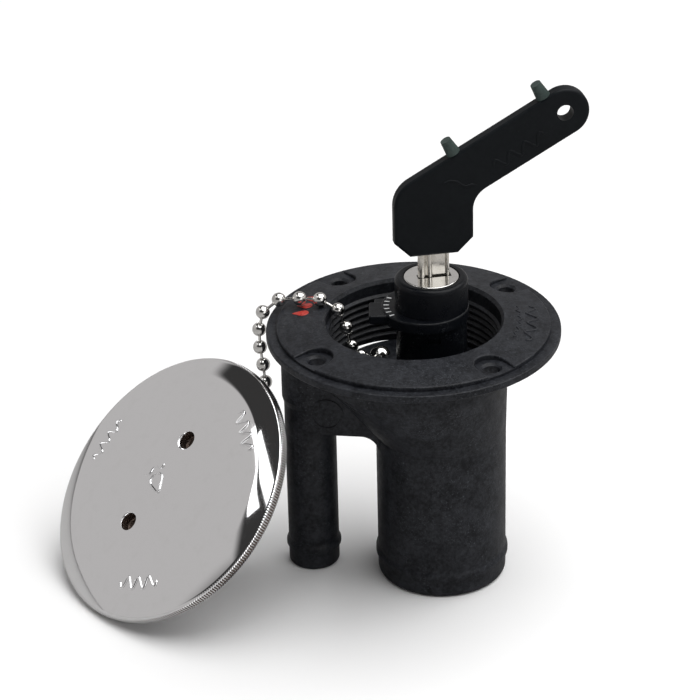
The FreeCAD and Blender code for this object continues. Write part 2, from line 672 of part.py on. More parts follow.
def handle_outline():
    """Outline of the handle: a body with chamfered lower corners and an arm to a round eye."""
    rise = math.radians(ARM_ANGLE)
    way = V(math.cos(rise), 0, math.sin(rise))
    up = V(-math.sin(rise), 0, math.cos(rise))
    eye = V(EYE[0], 0, EYE[1])
    top_end = eye + up * EYE_R
    low_end = eye - up * EYE_R
    half_turn = math.tan((math.pi / 2 - rise) / 2)

    def meet(x, end):
        return end - way * ((end.x - x) / way.x)

    shoulder = meet(HANDLE_LEFT, top_end)
    armpit = meet(HANDLE_RIGHT, low_end)

    def bend(corner, radius, first, second):
        reach = radius * half_turn
        a, b = corner + first * reach, corner + second * reach
        middle = (first + second).normalize()
        centre = corner + middle * math.hypot(radius, reach)
        return a, centre - middle * radius, b

    down = V(0, 0, -1)
    in_a, in_m, in_b = bend(armpit, HANDLE_INNER_R, down, way)
    out_a, out_m, out_b = bend(shoulder, HANDLE_SHOULDER_R, way, down)
    foot_z = HANDLE_FOOT
    cut = HANDLE_CHAMFER
    p0 = V(HANDLE_LEFT, 0, foot_z + cut)
    p1 = V(HANDLE_LEFT + cut, 0, foot_z)
    p2 = V(HANDLE_RIGHT - cut, 0, foot_z)
    p3 = V(HANDLE_RIGHT, 0, foot_z + cut)
    edges = [Part.makeLine(p0, p1), Part.makeLine(p1, p2), Part.makeLine(p2, p3), Part.makeLine(p3, in_a)]
    edges.append(Part.Arc(in_a, in_m, in_b).toShape())
    edges.append(Part.makeLine(in_b, low_end))
    edges.append(Part.Arc(low_end, eye + way * EYE_R, top_end).toShape())
    edges.append(Part.makeLine(top_end, out_a))
    edges.append(Part.Arc(out_a, out_m, out_b).toShape())
    edges.append(Part.makeLine(out_b, p0))
    return Part.Wire(edges)


def peg_places():
    """Foot and direction of each spanner peg on the arm's upper edge."""
    rise = math.radians(ARM_ANGLE)
    way = V(math.cos(rise), 0, math.sin(rise))
    up = V(-math.sin(rise), 0, math.cos(rise))
    top_end = V(EYE[0], 0, EYE[1]) + up * EYE_R
    return [(top_end - way * (PEG_FROM_EYE + PEG_SPACING * i), up) for i in range(2)]


def blade():
    """The blade, from its tang in the handle to its tip: a web with two round ribs, bitted."""
    top = HANDLE_FOOT + 12
    envelope = keyway(0, top, BLADE_TIP)
    solid = box(BLADE_LEFT + 0.5, BLADE_RIGHT, -BLADE_WEB, BLADE_T / 2, BLADE_TIP, top)
    for s, radius in BLADE_RIBS:
        solid = solid.fuse(rod(radius, BLADE_TIP, top, s, radius - BLADE_T / 2))
    solid = solid.common(envelope)
    tip = Part.makePolygon([V(BLADE_LEFT, -3, BLADE_TIP), V(BLADE_LEFT + 3, -3, BLADE_TIP),
                            V(BLADE_LEFT, -3, BLADE_TIP + 3), V(BLADE_LEFT, -3, BLADE_TIP)])
    solid = solid.cut(Part.Face(tip).extrude(V(0, 6, 0)))
    solid = solid.cut(box(2.4, 3.6, BLADE_T / 2 - 0.7, BLADE_T, BLADE_TIP - 1, HANDLE_FOOT))
    for i, z in enumerate(wafer_levels()):
        depth = 0.25 + 0.2 * (i % 3)
        level = z - FACE_Z
        low, high = V(BLADE_RIGHT + 0.1, -3, level - 1), V(BLADE_RIGHT + 0.1, -3, level + 1)
        notch = Part.makePolygon([low, V(BLADE_RIGHT - depth, -3, level), high, low])
        solid = solid.cut(Part.Face(notch).extrude(V(0, 6, 0)))
    return solid


def key_blade():
    return in_key_plane(blade())


def key_handle():
    """The moulded handle, with its edges rounded and a hole in its eye."""
    wire = handle_outline()
    wire.translate(V(0, -HANDLE_T / 2, 0))
    solid = Part.Face(wire).extrude(V(0, HANDLE_T, 0))
    rims = [edge for edge in solid.Edges if edge.BoundBox.YLength < 0.01]
    solid = solid.makeFillet(HANDLE_ROUND, rims)
    hole = Part.makeCylinder(EYE_HOLE_R, 20, V(EYE[0], -10, EYE[1]), Y_AXIS)
    solid = solid.cut(hole).cut(keyway(0, HANDLE_FOOT + 12, BLADE_TIP))
    for foot, up in peg_places():
        solid = solid.cut(Part.makeCylinder(PEG_ROOT_R, PEG_ROOT, foot - up * PEG_ROOT, up))
    return in_key_plane(solid)


def spanner_pegs():
    """Two pegs in the arm that fit the holes in the cap's face."""
    pegs = []
    for foot, up in peg_places():
        peg = Part.makeCone(PEG_R, PEG_TIP_R, PEG_LENGTH, foot, up)
        pegs.append(peg.fuse(Part.makeCylinder(PEG_ROOT_R, PEG_ROOT, foot - up * PEG_ROOT, up)))
    return in_key_plane(Part.makeCompound(pegs))


# Cap ---------------------------------------------------------------------------------------


def spanner_holes():
    return [polar(PEG_SPACING / 2, SPANNER_TURN + half) for half in (0, 180)]


def cap_shell():
    """Crowned cap with a threaded skirt, cast in one piece."""
    drop = CAP_CROWN_Z - CREASE_Z
    crown = (CREASE_R ** 2 + drop ** 2) / (2 * drop)
    mid_r = CREASE_R / 2
    mid_z = CAP_CROWN_Z - crown + math.sqrt(crown ** 2 - mid_r ** 2)
    crown_arc = Part.Arc(V(0, 0, CAP_CROWN_Z), V(mid_r, 0, mid_z), V(CREASE_R, 0, CREASE_Z)).toShape()
    corners = [(CREASE_R, CREASE_Z), (CAP_R - 0.6, BAND_TOP_Z), (CAP_R, BAND_TOP_Z - 0.6), (CAP_R, 0),
               (SKIRT_R, 0), (SKIRT_R, SKIRT_END_Z + 0.6), (SKIRT_R - 0.6, SKIRT_END_Z),
               (SKIRT_BORE_R, SKIRT_END_Z), (SKIRT_BORE_R, 2.0), (19.0, CEILING_Z - 0.9),
               (0, CEILING_Z), (0, CAP_CROWN_Z)]
    points = [V(r, 0, z) for r, z in corners]
    edges = [crown_arc] + [Part.makeLine(a, b) for a, b in zip(points, points[1:])]
    solid = Part.Face(Part.Wire(edges)).revolve(V(), Z_AXIS, 360)
    solid = solid.fuse(thread(SKIRT_R, CAP_THREAD_R, SKIRT_END_Z + 1.6, -3.2))
    solid = solid.fuse(rod(3.4, 5.0, CEILING_Z + 0.5))
    for x, y in spanner_holes():
        solid = solid.fuse(rod(4.6, 2.6, CEILING_Z + 0.5, x, y))
        solid = solid.cut(rod(SPANNER_HOLE_R, 3.6, CAP_CROWN_Z + 1, x, y))
    return on_cap(solid.cut(rod(SWIVEL_R, 0, 7.4)))


def cap_seal():
    return on_cap(torus(25.4, 1.0, -1.05))


def swivel_washer():
    return on_cap(ring(2.6, SWIVEL_R + 0.1, 4.6, 4.98))


def swivel_screw():
    head = rod(2.4, 2.4, 3.55).cut(box(-3, 3, -0.3, 0.3, 1, 2.9))
    return on_cap(head.fuse(rod(SWIVEL_R, 3.55, 7.3)))


def main():
    os.makedirs("parts", exist_ok=True)
    rim_balls, rim_pins = rim_chain()
    hanging_balls, hanging_pins = hanging_chain()
    nodes = {
        "fill_body": fill_body(),
        "anchor_screw": anchor_screw(),
        "anchor_eyelet": anchor_eyelet(),
        "rim_chain_balls": rim_balls,
        "rim_chain_pins": rim_pins,
        "lock_housing": lock_housing(),
        "insert_seal": insert_seal(),
        "chamber_cover": chamber_cover(),
        "cover_screws": cover_screws(),
        "lock_shell": lock_shell(),
        "lock_plug": lock_plug(),
        "wafers": wafers(),
        "wafer_springs": wafer_springs(),
        "retaining_clip": retaining_clip(),
        "scroll_cam": scroll_cam(),
        "cam_screw": cam_screw(),
        "front_bolt": latch(-1),
        "rear_bolt": latch(1),
        "key_blade": key_blade(),
        "key_handle": key_handle(),
        "spanner_pegs": spanner_pegs(),
        "hanging_chain_balls": hanging_balls,
        "hanging_chain_pins": hanging_pins,
        "swivel_eyelet": swivel_eyelet(),
        "cap_shell": cap_shell(),
        "cap_seal": cap_seal(),
        "swivel_washer": swivel_washer(),
        "swivel_screw": swivel_screw(),
    }
    for name, shape in nodes.items():
        shape.exportStep("parts/" + name + ".step")
        print(name, shape.isValid(), len(shape.Solids), round(shape.Volume, 1))


main()
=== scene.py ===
"""Looks of a boat's fuel fill and vent deck plate, its locking insert and key, and its chrome cap.

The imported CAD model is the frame. Its own parts keep their shape and get procedural materials.
The cap, the chain's balls and the raised marks are modelled here, as pieces that ride its bodies.
"""
import json
import math

import bmesh
import bpy
from mathutils import Matrix, Vector


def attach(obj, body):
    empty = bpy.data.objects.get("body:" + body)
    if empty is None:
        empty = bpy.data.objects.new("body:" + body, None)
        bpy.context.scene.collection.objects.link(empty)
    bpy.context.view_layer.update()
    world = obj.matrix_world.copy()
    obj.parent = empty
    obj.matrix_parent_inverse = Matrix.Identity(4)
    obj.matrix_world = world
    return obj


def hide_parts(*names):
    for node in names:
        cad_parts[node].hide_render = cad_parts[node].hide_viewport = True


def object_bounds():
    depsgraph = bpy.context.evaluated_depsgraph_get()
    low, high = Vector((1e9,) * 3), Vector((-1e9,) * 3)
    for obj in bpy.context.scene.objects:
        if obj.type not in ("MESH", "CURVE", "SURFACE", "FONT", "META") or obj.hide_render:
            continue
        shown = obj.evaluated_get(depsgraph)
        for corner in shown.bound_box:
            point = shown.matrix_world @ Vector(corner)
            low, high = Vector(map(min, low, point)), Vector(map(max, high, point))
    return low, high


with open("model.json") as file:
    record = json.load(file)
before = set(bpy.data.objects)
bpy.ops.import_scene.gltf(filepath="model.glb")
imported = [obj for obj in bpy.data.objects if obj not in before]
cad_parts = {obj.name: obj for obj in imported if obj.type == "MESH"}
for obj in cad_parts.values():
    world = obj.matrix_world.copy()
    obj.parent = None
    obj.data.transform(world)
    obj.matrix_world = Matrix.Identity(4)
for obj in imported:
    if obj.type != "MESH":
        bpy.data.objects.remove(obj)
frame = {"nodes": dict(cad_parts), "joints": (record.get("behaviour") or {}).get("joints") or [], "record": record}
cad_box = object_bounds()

MM = 0.001
UP = Vector((0, 0, 1))

# Camera, in the frame of the deck plate, metres and degrees
AIM = Vector((-0.01766, -0.00658, -0.00303))
DISTANCE = 0.8117
AZIMUTH = 8.10
ELEVATION = 27.83
ROLL = -1.406
LENS_MM = 145.2
SENSOR_MM = 36.0

# Room round the object: pale, with a dark ceiling over its right side and a dark front above
# eye level. Each border is a band of the direction's components, from pale to dark.
ROOM_COLOR = (1.0, 0.975, 0.965, 1)
ROOM_LEVEL = 0.47
DARK_LEVEL = 0.035
BACKGROUND_LEVEL = 1.2
CEILING_BORDERS = (("X", -0.65, -0.60), ("Z", 0.53, 0.62))
FRONT_BORDERS = (("Y", -0.44, -0.60), ("Z", 0.22, 0.34))

# Cap, in its own frame, millimetres: z = 0 is the back of its rim, +z points out of its face
CAP_R = 42.0
CROWN_Z = 8.3
CREASE_R = 35.3
CREASE_Z = 4.8
CREASE_INSIDE = 0.8
CREASE_OUTSIDE = 2.2
BEVEL_R = 41.1
BAND_TOP_Z = 2.6
SKIRT_R = 24.2
SKIRT_BORE_R = 21.6
SKIRT_END_Z = -14.0
CEILING_Z = 5.9
THREAD_PITCH = 25.4 / 12
THREAD_PROUD = 0.9
THREAD_RUN_Z = (-12.4, -3.2)
TEETH = 330
TOOTH_DEPTH = 0.5
# Depth of the dark ring under the knurling, which paints shade into its grooves
GROOVE_SHADE_DEPTH = 0.24
SPANNER_SPACING = 29.4
SPANNER_TURN = -3.2
SPANNER_HOLE_R = 2.75
SPANNER_FLOOR_Z = 3.6
LINING_TOP_Z = 6.6
SPANNER_BOSS_R = 4.6
SPANNER_BOSS_Z = 2.6
SWIVEL_BOSS_R = 3.4
SWIVEL_BOSS_Z = 5.0
MARK_R = 31.4
MARK_TURNS = (28.5, 147, 268)
MARK_HALF_TURN = 13
MIDDLE_MARK_TURN = -38

# Flange: its crowned face falls outwards from the throat's rim
FLANGE_TOP = 5.0
RIM_R = 26.1
CROWN_FALL = 1.6 / 13.4
DROP_R = 33.0
DROP_TURNS = (161, 169.5, 178)
DROP_HEIGHT = 4.8
WAVE_TURNS = (-16, 20)

# Bead chain
BALL_R = 2.07
BALL_MOUTH_R = 0.72

# Lock and key
LOCK_X = 5.3
KEY_TURN = 18.0
LOCK_FACE_Z = 18.53
HANDLE_T = 4.2
ARM_ANGLE = 29.4
ARM_MIDDLE = (25.0, 37.2)
SHELF_Z = 9.3
TICK_R = 13.0
TICK_COUNT = 6
TICK_START = 166
TICK_STEP = 10

# Floor, metres: half its width, the distances between which its glow sets in, and its strength
FLOOR_HALF = 3.0
GLOW_FROM = 0.3
GLOW_TO = 1.8
GLOW_LEVEL = 0.8
PAPER_COLORS = ((0.90, 0.90, 0.90), (0.92, 0.92, 0.92))
MIRRORED_PAPER_COLOR = (0.40, 0.395, 0.39)

# Soft lights: name, direction and distance in metres from the target, width and height, watts
EDGE_SOFTBOXES = (
    ("edge_softbox_low", (-0.595, -0.11, 0.80), 1.0, (0.50, 0.09), 0.24),
    ("edge_softbox_high", (-0.49, -0.15, 0.87), 1.0, (0.50, 0.09), 0.24),
)
ROOM_SOFTBOXES = (
    ("top_softbox", (0.35, 0.05, 1), 1.15, (1.5, 1.5), 24),
    ("front_softbox", (0.7, -0.9, 0.45), 1.2, (0.7, 0.7), 1.5),
)

# Plastics: name, dark tone, light tone, fleck, roughness, grain's size and depth in millimetres,
# and for some the share of flecks and the specular level
PLASTICS = (
    ("nylon", (0.0034, 0.0040, 0.0060), (0.0200, 0.0216, 0.0262), (0.060, 0.066, 0.076),
     0.45, 0.5, 0.07, 0.9, 0.22),
    ("lock_nylon", (0.0025, 0.0032, 0.0048), (0.0045, 0.0052, 0.0070), (0.10, 0.11, 0.12),
     0.30, 0.5, 0.015, 0.25, 0.16),
    ("key_plastic", (0.0026, 0.0038, 0.0052), (0.0040, 0.0055, 0.0070), (0.016, 0.018, 0.020),
     0.42, 0.3, 0.015, 0.1, 0.14),
    ("acetal", (0.70, 0.69, 0.65), (0.80, 0.79, 0.75), (0.6, 0.58, 0.55), 0.4, 0.4, 0.02),
    ("peg_steel", (0.020, 0.032, 0.029), (0.035, 0.052, 0.047), (0.12, 0.15, 0.14),
     0.40, 0.35, 0.02, 0.7),
    ("rubber", (0.012, 0.012, 0.012), (0.020, 0.020, 0.020), (0.05, 0.05, 0.05), 0.6, 0.4, 0.02),
)

# Metals: name, colour, colour of its stains, roughness and its spread, ripple's size and depth in millimetres,
# and for brushed ones the stretch of the ripple along each axis
METALS = (
    ("chrome", (0.93, 0.93, 0.94), (0.90, 0.90, 0.905), 0.035, 0.025, 9, 0.005),
    ("nickel", (0.80, 0.79, 0.77), (0.50, 0.48, 0.45), 0.10, 0.10, 1.2, 0.01),
    ("stainless", (0.76, 0.75, 0.73), (0.42, 0.40, 0.37), 0.12, 0.1, 0.8, 0.008),
    ("zinc", (0.80, 0.79, 0.78), (0.55, 0.54, 0.53), 0.20, 0.14, 0.5, 0.02, (0.2, 1.6, 0.3)),
    ("blade", (0.86, 0.83, 0.77), (0.62, 0.58, 0.50), 0.14, 0.12, 0.4, 0.02, (1, 1, 0.08)),
    ("brass", (0.80, 0.64, 0.36), (0.45, 0.33, 0.17), 0.20, 0.15, 0.6, 0.015),
    # The last row is a dark metal that paints shade into the knurling's grooves and the spanner holes
    ("stain", (0.17, 0.13, 0.11), (0.05, 0.035, 0.03), 0.42, 0.2, 0.7, 0.03),
)

# Paints: name, colour, worn colour
PAINTS = (
    ("red_paint", (0.42, 0.030, 0.020), (0.16, 0.020, 0.016)),
    ("white_paint", (0.72, 0.73, 0.74), (0.35, 0.36, 0.37)),
)


# Materials ---------------------------------------------------------------------------------


class Graph:
    """A node material with a Principled shader, and short calls for the nodes that feed it."""

    def __init__(self, name, color, roughness, metallic=0.0, specular=0.5):
        self.material = bpy.data.materials.new(name)
        self.material.use_nodes = True
        self.nodes = self.material.node_tree.nodes
        self.links = self.material.node_tree.links
        self.shader = self.nodes["Principled BSDF"]
        self.shader.inputs["Base Color"].default_value = (*color, 1)
        self.shader.inputs["Roughness"].default_value = roughness
        self.shader.inputs["Metallic"].default_value = metallic
        self.shader.inputs["Specular IOR Level"].default_value = specular
        self.place = self.nodes.new("ShaderNodeTexCoord").outputs["Object"]
        self.last_bump = None

    def noise(self, size_mm, detail=3.0, rough=0.55, stretch=None):
        """Noise with features of about size_mm; stretch scales the space along each axis."""
        node = self.nodes.new("ShaderNodeTexNoise")
        node.inputs["Scale"].default_value = 1 / (size_mm * MM)
        node.inputs["Detail"].default_value = detail
        node.inputs["Roughness"].default_value = rough
        place = self.place
        if stretch:
            mapping = self.nodes.new("ShaderNodeMapping")
            mapping.inputs["Scale"].default_value = stretch
            self.links.new(place, mapping.inputs["Vector"])
            place = mapping.outputs["Vector"]
        self.links.new(place, node.inputs["Vector"])
        return node.outputs["Fac"]

    def remap(self, value, low, high, to_low=0.0, to_high=1.0):
        node = self.nodes.new("ShaderNodeMapRange")
        node.inputs["From Min"].default_value = low
        node.inputs["From Max"].default_value = high
        node.inputs["To Min"].default_value = to_low
        node.inputs["To Max"].default_value = to_high
        self.links.new(value, node.inputs["Value"])
        return node.outputs["Result"]

    def math(self, kind, a, b):
        node = self.nodes.new("ShaderNodeMath")
        node.operation = kind
        for socket, value in zip(node.inputs, (a, b)):
            if isinstance(value, (int, float)):
                socket.default_value = value
            else:
                self.links.new(value, socket)
        return node.outputs["Value"]

    def colors(self, factor, first, second):
        node = self.nodes.new("ShaderNodeMix")
        node.data_type = "RGBA"
        self.links.new(factor, node.inputs["Factor"])
        for socket, value in ((node.inputs[6], first), (node.inputs[7], second)):
            if isinstance(value, tuple):
                socket.default_value = (*value, 1)
            else:
                self.links.new(value, socket)
        return node.outputs[2]

    def color(self, socket):
        self.links.new(socket, self.shader.inputs["Base Color"])

    def roughness(self, socket):
        self.links.new(socket, self.shader.inputs["Roughness"])

    def from_middle(self):
        """Distance from the object's origin, in metres."""
        node = self.nodes.new("ShaderNodeVectorMath")
        node.operation = "LENGTH"
        self.links.new(self.place, node.inputs[0])
        return node.outputs["Value"]

    def glow(self, strength):
        self.shader.inputs["Emission Color"].default_value = (1, 1, 1, 1)
        self.links.new(strength, self.shader.inputs["Emission Strength"])

    def bump(self, height, depth_mm, strength=1.0):
        node = self.nodes.new("ShaderNodeBump")
        node.inputs["Distance"].default_value = depth_mm * MM
        node.inputs["Strength"].default_value = strength
        self.links.new(height, node.inputs["Height"])
        if self.last_bump:
            self.links.new(self.last_bump, node.inputs["Normal"])
        self.last_bump = node.outputs["Normal"]
        self.links.new(self.last_bump, self.shader.inputs["Normal"])


def moulded(name, dark, light, fleck, roughness, grain_mm, grain_depth,
            fleck_share=0.5, specular=0.3):
    """Moulded plastic: a slow change of tone, pale flecks in patches, a fine grain."""
    g = Graph(name, dark, roughness, specular=specular)
    tone = g.remap(g.math("ADD", g.noise(5, 5, 0.65), g.noise(1.1, 3, 0.7)), 0.80, 1.20)
    patches = g.remap(g.noise(12, 2), 0.62 - 0.2 * fleck_share, 0.72 - 0.2 * fleck_share)
    flecks = g.remap(g.noise(0.6, 5, 0.8), 0.56, 0.68)
    base = g.colors(tone, dark, light)
    g.color(g.colors(g.math("MULTIPLY", patches, flecks), base, fleck))
    wear = g.noise(3.5, 5, 0.7)
    g.roughness(g.remap(wear, 0.3, 0.7, roughness - 0.07, roughness + 0.09))
    g.bump(g.noise(grain_mm, 4, 0.6), grain_depth, 0.8)
    g.bump(g.noise(6, 2), 0.12, 0.4)
    return g.material


def plated(name, color, stain, roughness, spread, ripple_mm, ripple_depth, brushed=None):
    """Plated metal: faint stains, an uneven polish, and a ripple or brushed lines."""
    g = Graph(name, color, roughness, metallic=1.0)
    stains = g.remap(g.noise(4.5, 5, 0.65), 0.52, 0.78)
    g.color(g.colors(stains, color, stain))
    g.roughness(g.remap(g.noise(1.6, 5, 0.7), 0.3, 0.7, roughness, roughness + spread))
    g.bump(g.noise(ripple_mm, 3, 0.5, brushed), ripple_depth, 0.5)
    return g.material


def painted(name, color, worn):
    """Printed or painted marks, worn in spots."""
    g = Graph(name, color, 0.42)
    g.color(g.colors(g.remap(g.noise(0.7, 4, 0.7), 0.55, 0.68), color, worn))
    g.roughness(g.remap(g.noise(0.5, 3), 0.3, 0.7, 0.32, 0.55))
    g.bump(g.noise(0.4, 3), 0.02, 0.6)
    return g.material


def make_materials():
    kinds = ((moulded, PLASTICS), (plated, METALS), (painted, PAINTS))
    return {row[0]: make(*row) for make, rows in kinds for row in rows}


# Meshes ------------------------------------------------------------------------------------


def make_object(name, vertices, faces):
    mesh = bpy.data.meshes.new(name)
    mesh.from_pydata(vertices, [], faces)
    work = bmesh.new()
    work.from_mesh(mesh)
    bmesh.ops.recalc_face_normals(work, faces=work.faces)
    work.to_mesh(mesh)
    work.free()
    piece = bpy.data.objects.new(name, mesh)
    bpy.context.scene.collection.objects.link(piece)
    return piece


def smooth(piece, degrees=32):
    """Smooth shading with sharp edges where faces meet at more than this angle."""
    for face in piece.data.polygons:
        face.use_smooth = True
    piece.data.set_sharp_from_angle(angle=math.radians(degrees))


def finish_piece(piece, material, body, replaced=(), degrees=32):
    piece.data.materials.clear()
    piece.data.materials.append(material)
    smooth(piece, degrees)
    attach(piece, body)
    if replaced:
        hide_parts(*replaced)
    return piece


def lathe(outline, segments, matrix, radius_at=None):
    """Vertices and faces of a closed outline of (radius, z), in millimetres, turned about +Z.
    radius_at(index, angle) takes a length off the outline's radius there."""
    vertices, rings = [], []
    for index, (radius, z) in enumerate(outline):
        if radius == 0:
            rings.append([len(vertices)])
            vertices.append(matrix @ Vector((0, 0, z * MM)))
            continue
        rings.append(range(len(vertices), len(vertices) + segments))
        for i in range(segments):
            angle = 2 * math.pi * i / segments
            r = (radius - (radius_at(index, angle) if radius_at else 0)) * MM
            vertices.append(matrix @ Vector((r * math.cos(angle), r * math.sin(angle), z * MM)))
    faces = []
    pairs = list(zip(rings, rings[1:]))
    if len(rings[0]) > 1:
        pairs.append((rings[-1], rings[0]))
    for a, b in pairs:
        for i in range(segments):
            j = (i + 1) % segments
            if len(a) == 1:
                faces.append((a[0], b[i], b[j]))
            elif len(b) == 1:
                faces.append((a[i], b[0], a[j]))
            else:
                faces.append((a[i], b[i], b[j], a[j]))
    return vertices, faces


def arc(centre, radius, start, end, count):
    """Points of (r, z) along an arc, angles in degrees."""
    step = (end - start) / (count - 1)
    turns = [math.radians(start + step * i) for i in range(count)]
    return [(centre[0] + radius * math.cos(t), centre[1] + radius * math.sin(t)) for t in turns]


def ridge(path, width, height, closed=False, sink=0.15):
    """Vertices and faces of a rounded raised line along a flat path, in millimetres: z = 0 is
    the surface that it stands on, and it goes down into it by sink."""
    sides = 7
    count = len(path)
    vertices, faces = [], []
    for i, point in enumerate(path):
        before = path[i - 1] if closed or i else point
        after = path[(i + 1) % count] if closed or i < count - 1 else point
        way = (Vector(after) - Vector(before)).normalized()
        across = Vector((-way.y, way.x))
        ends = not closed and i in (0, count - 1)
        size = 0.35 if ends else 1.0
        for k in range(sides):
            turn = math.pi * k / (sides - 1)
            side = across * (math.cos(turn) * width / 2 * size)
            rise = height * math.sin(turn) * (0.3 if ends else 1.0)
            z = rise if 0 < k < sides - 1 else -sink
            vertices.append(Vector((point[0] + side.x, point[1] + side.y, z)))
    spans = range(count if closed else count - 1)
    for i in spans:
        a, b = i * sides, (i + 1) % count * sides
        for k in range(sides):
            j = (k + 1) % sides
            faces.append((a + k, a + j, b + j, b + k))
    if not closed:
        faces.append(tuple(range(sides)))
        faces.append(tuple(range((count - 1) * sides, count * sides)))
    return vertices, faces


def pad(outline, height, edge, sink=0.15):
    """Vertices and faces of a flat raised shape with a rounded edge, from an outline about its
    own middle, in millimetres."""
    count = len(outline)
    reach = max(Vector(p).length for p in outline)
    layers = [(1, -sink), (1, height * 0.45), (1 - edge * 0.35 / reach, height * 0.85),
              (1 - edge / reach, height)]
    vertices = [Vector((x * size, y * size, z)) for size, z in layers for x, y in outline]
    faces = [tuple(range(count)), tuple(range(3 * count, 4 * count))]
    for layer in range(len(layers) - 1):
        a, b = layer * count, (layer + 1) * count
        faces += [(a + i, a + (i + 1) % count, b + (i + 1) % count, b + i) for i in range(count)]
    return vertices, faces


def droplet(height, count=36):
    """Outline of a drop with its point along +Y, height from end to end, about its middle."""
    radius = height * 0.34
    points = []
    for i in range(count):
        turn = 2 * math.pi * i / count
        lift = max(0.0, math.cos(turn)) ** 3 * (height - 2 * radius)
        squeeze = 1 - 0.35 * max(0.0, math.cos(turn)) ** 2
        points.append((radius * math.sin(turn) * squeeze, radius * math.cos(turn) + lift))
    middle = (max(p[1] for p in points) + min(p[1] for p in points)) / 2
    return [(x, y - middle) for x, y in points]


def wave(length, rise, periods, count=48):
    """Points along a sine wave centred on the origin."""
    steps = [i / (count - 1) for i in range(count)]
    return [(length * (s - 0.5), rise * math.sin(2 * math.pi * periods * s)) for s in steps]


def gather(shapes):
    """One mesh's vertices and faces, in metres, from (matrix, (vertices, faces)) in millimetres."""
    vertices, faces = [], []
    for matrix, (points, polygons) in shapes:
        start = len(vertices)
        vertices += [matrix @ (Vector(p) * MM) for p in points]
        faces += [tuple(start + i for i in polygon) for polygon in polygons]
    return vertices, faces


def on_ring(line, radius, start, end):
    """Bends a line that runs from x = -0.5 to 0.5 round a ring, from one angle to another."""
    path = []
    for s, side in line:
        turn = math.radians((start + end) / 2 + (end - start) * s)
        path.append(((radius + side) * math.cos(turn), (radius + side) * math.sin(turn)))
    return path


def laid(shape, height_at):
    """Lays a flat shape on a surface whose height depends on the radius."""
    vertices, faces = shape
    return [(v[0], v[1], v[2] + height_at(math.hypot(v[0], v[1]))) for v in vertices], faces


def turned(degrees, x=0.0, y=0.0, z=0.0):
    """A turn about +Z after a move, lengths in millimetres."""
    return Matrix.Translation(Vector((x, y, z)) * MM) @ Matrix.Rotation(math.radians(degrees), 4, "Z")


# Cap ---------------------------------------------------------------------------------------


def cap_matrix():
    """The cap's own frame: +Z along the joint it turns on, +X down the slope of its face."""
    joint = next(j for j in frame["joints"] if j["name"] == "cap_spin")
    out = Vector(joint["axis"]).normalized()
    down = (out * out.z - UP).normalized()
    side = out.cross(down)
    turn = Matrix((down, side, out)).transposed().to_4x4()
    return Matrix.Translation(Vector(joint["pos_m"])) @ turn


def crown_height(radius):
    drop = CROWN_Z - CREASE_Z
    sphere = (CREASE_R ** 2 + drop ** 2) / (2 * drop)
    return CROWN_Z - sphere + math.sqrt(sphere ** 2 - radius ** 2)


def crease():
    """Points of the rounded crease between the crown and the bevel."""
    start = Vector((CREASE_R - CREASE_INSIDE, crown_height(CREASE_R - CREASE_INSIDE)))
    corner = Vector((CREASE_R, CREASE_Z))
    slope = math.atan2(CREASE_Z - BAND_TOP_Z - 0.3, BEVEL_R - CREASE_R)
    end = corner + Vector((math.cos(slope), -math.sin(slope))) * CREASE_OUTSIDE
    points = []
    for i in range(1, 13):
        s = i / 12
        points.append(tuple(start * (1 - s) ** 2 + corner * (2 * s * (1 - s)) + end * s ** 2))
    return points


def cap_outline():
    """Outline of the cap from the middle of its face round to the middle of its ceiling, and
    the indices of the knurled band's points."""
    crown_end = CREASE_R - CREASE_INSIDE
    crown = [(crown_end * i / 24, crown_height(crown_end * i / 24)) for i in range(24)]
    edge = [(BEVEL_R - 0.4, BAND_TOP_Z + 0.42), (BEVEL_R, BAND_TOP_Z + 0.25),
            (BEVEL_R + 0.35, BAND_TOP_Z + 0.02)]
    face = crown + crease() + edge
    band = [(CAP_R - 0.12, BAND_TOP_Z - 0.25), (CAP_R, BAND_TOP_Z - 0.5), (CAP_R, 0.5),
            (CAP_R - 0.12, 0.2)]
    back = [(CAP_R - 0.5, 0), (CAP_R - 1.2, 0), (SKIRT_R + 1, 0), (SKIRT_R + 0.3, -0.1),
            (SKIRT_R, -0.6)]
    skirt = [(SKIRT_R, SKIRT_END_Z + 0.7), (SKIRT_R - 0.2, SKIRT_END_Z + 0.2),
             (SKIRT_R - 0.7, SKIRT_END_Z)]
    bore = [(SKIRT_BORE_R + 0.4, SKIRT_END_Z), (SKIRT_BORE_R, SKIRT_END_Z + 0.4),
            (SKIRT_BORE_R, 1.2), (SKIRT_BORE_R - 0.6, 2.6), (19.0, CEILING_Z - 0.9), (0, CEILING_Z)]
    return face + band + back + skirt + bore, range(len(face), len(face) + len(band))


def helix_ridge(radius, proud, pitch, z0, z1, matrix):
    """A thread's ridge that fades in and out at its ends, in the matrix's frame."""
    per_turn = 96
    count = int((z1 - z0) / pitch * per_turn)
    vertices, faces = [], []
    for i in range(count + 1):
        angle = 2 * math.pi * i / per_turn
        z = z0 + pitch * i / per_turn
        fade = min(1.0, i / (per_turn / 4), (count - i) / (per_turn / 4))
        crest = radius + max(0.02, proud * fade)
        for r, dz in ((radius - 0.3, -0.44), (crest, -0.08), (crest, 0.08), (radius - 0.3, 0.44)):
            at = Vector((r * math.cos(angle), r * math.sin(angle), z + dz * pitch)) * MM
            vertices.append(matrix @ at)
    for i in range(count):
        a, b = 4 * i, 4 * (i + 1)
        faces += [(a + k, a + (k + 1) % 4, b + (k + 1) % 4, b + k) for k in range(4)]
    faces += [(0, 1, 2, 3), tuple(4 * count + k for k in range(4))]
    return vertices, faces


def spanner_places():
    for half in (0, 180):
        turn = math.radians(SPANNER_TURN + half)
        yield SPANNER_SPACING / 2 * math.cos(turn), SPANNER_SPACING / 2 * math.sin(turn)


